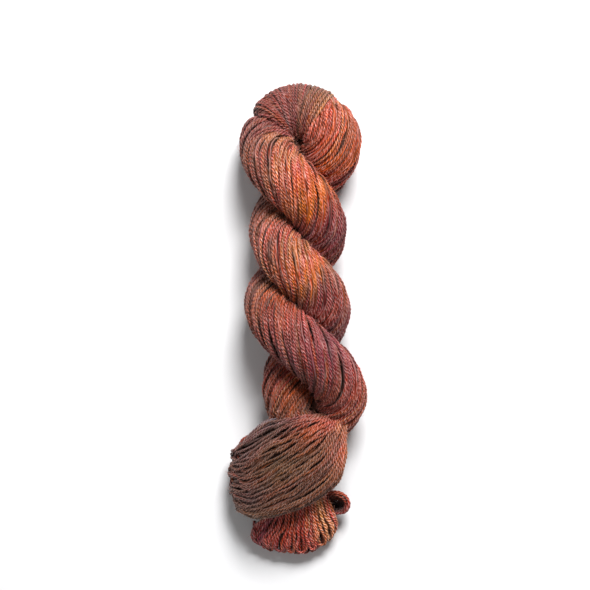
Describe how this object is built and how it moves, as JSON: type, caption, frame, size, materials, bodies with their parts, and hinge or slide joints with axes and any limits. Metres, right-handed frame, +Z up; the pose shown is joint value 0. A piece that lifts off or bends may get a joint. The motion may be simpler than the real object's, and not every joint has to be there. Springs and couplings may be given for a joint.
{
  "type": "twisted skein of worsted yarn",
  "caption": "Skein of worsted yarn: a hank twisted on itself and folded so that its halves ply together, with one end loop tucked through the other.",
  "frame": {"origin": "middle of the skein's footprint, on the surface that it lies on", "axes": "+Z up from that surface, +Y along the skein towards its folded head, +X to the right as seen from above with the head at the top"},
  "size_m": [0.0826, 0.2818, 0.0552],
  "materials": {
    "yarn": "soft plied wool with a faint sheen, hand-dyed in rust, copper, mauve and grey-brown"
  },
  "bodies": {
    "root": {"skein": "yarn"}
  },
  "joints": []
}
